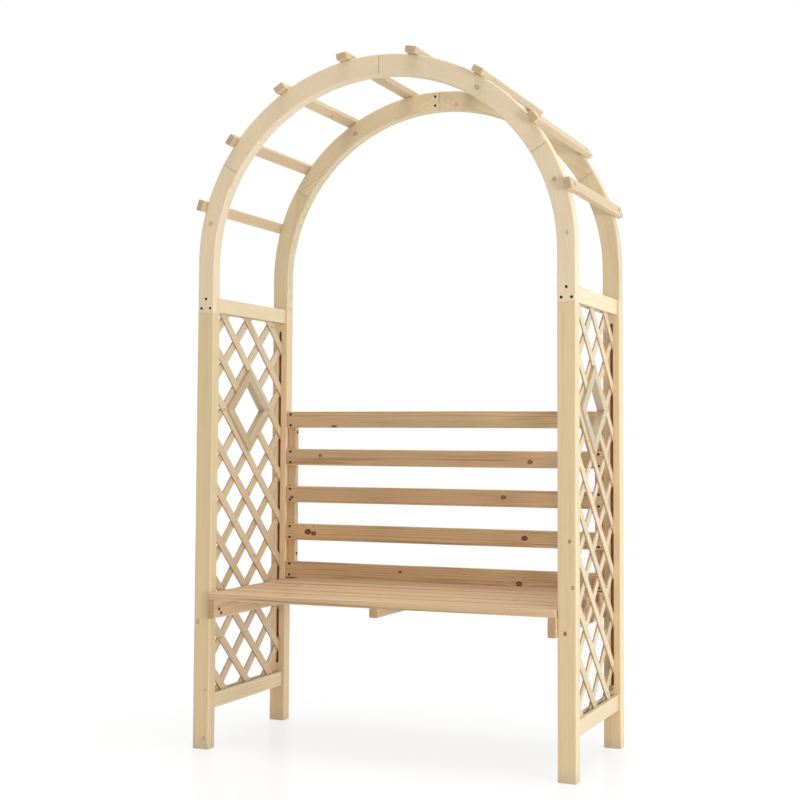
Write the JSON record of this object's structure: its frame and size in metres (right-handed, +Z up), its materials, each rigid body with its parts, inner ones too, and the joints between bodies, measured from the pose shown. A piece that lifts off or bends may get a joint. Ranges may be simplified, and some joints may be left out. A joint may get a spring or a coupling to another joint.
{
  "type": "arbour seat",
  "caption": "Garden arbour seat of planed softwood: a round arch of rungs over a plank bench with a slatted back and diamond lattice sides.",
  "frame": {"origin": "centre of the footprint, on the ground that the posts stand on", "axes": "+Z up, -Y towards the open front where a person sits down, +X towards the right-hand side seen from the front"},
  "size_m": [1.2, 0.6, 2.0903],
  "materials": {
    "post_softwood": "planed softwood, oiled, small knots",
    "arch_softwood": "planed softwood, oiled, small knots",
    "rung_softwood": "planed softwood, oiled",
    "side_panel_softwood": "planed softwood, oiled",
    "seat_softwood": "planed softwood, oiled, small knots",
    "back_softwood": "planed softwood, oiled, small knots",
    "beech_dowels": "plain beech",
    "dark_screws": "dark brown coated steel, satin",
    "lattice_nails": "plain steel"
  },
  "bodies": {
    "root": {"arch_crown_screws": "dark_screws", "arch_joint_screws": "dark_screws", "arch_rung_1": "rung_softwood", "arch_rung_2": "rung_softwood", "arch_rung_3": "rung_softwood", "arch_rung_4": "rung_softwood", "arch_rung_5": "rung_softwood", "arch_rung_6": "rung_softwood", "arch_rung_7": "rung_softwood", "arch_rung_8": "rung_softwood", "arch_rung_screws": "dark_screws", "back_slat_1": "back_softwood", "back_slat_2": "back_softwood", "back_slat_3": "back_softwood", "back_slat_4": "back_softwood", "back_slat_5": "back_softwood", "back_slat_screws": "dark_screws", "bearer_and_batten_screws": "dark_screws", "front_arch_left_crown": "arch_softwood", "front_arch_left_leg": "arch_softwood", "front_arch_right_crown": "arch_softwood", "front_arch_right_leg": "arch_softwood", "front_left_post": "post_softwood", "front_right_post": "post_softwood", "lattice_nails": "lattice_nails", "left_back_batten": "back_softwood", "left_lattice_falling_slats": "side_panel_softwood", "left_lattice_rising_slats": "side_panel_softwood", "left_lower_rail": "side_panel_softwood", "left_seat_bearer": "seat_softwood", "left_top_rail": "side_panel_softwood", "left_window_lower_front": "side_panel_softwood", "left_window_lower_rear": "side_panel_softwood", "left_window_upper_front": "side_panel_softwood", "left_window_upper_rear": "side_panel_softwood", "rear_arch_left_crown": "arch_softwood", "rear_arch_left_leg": "arch_softwood", "rear_arch_right_crown": "arch_softwood", "rear_arch_right_leg": "arch_softwood", "rear_left_post": "post_softwood", "rear_right_post": "post_softwood", "right_back_batten": "back_softwood", "right_lattice_falling_slats": "side_panel_softwood", "right_lattice_rising_slats": "side_panel_softwood", "right_lower_rail": "side_panel_softwood", "right_seat_bearer": "seat_softwood", "right_top_rail": "side_panel_softwood", "right_window_lower_front": "side_panel_softwood", "right_window_lower_rear": "side_panel_softwood", "right_window_upper_front": "side_panel_softwood", "right_window_upper_rear": "side_panel_softwood", "seat_board_1": "seat_softwood", "seat_board_2": "seat_softwood", "seat_board_3": "seat_softwood", "seat_board_4": "seat_softwood", "seat_board_5": "seat_softwood", "seat_board_6": "seat_softwood", "seat_board_screws": "dark_screws", "seat_joist": "seat_softwood", "wooden_dowels": "beech_dowels"}
  },
  "joints": []
}
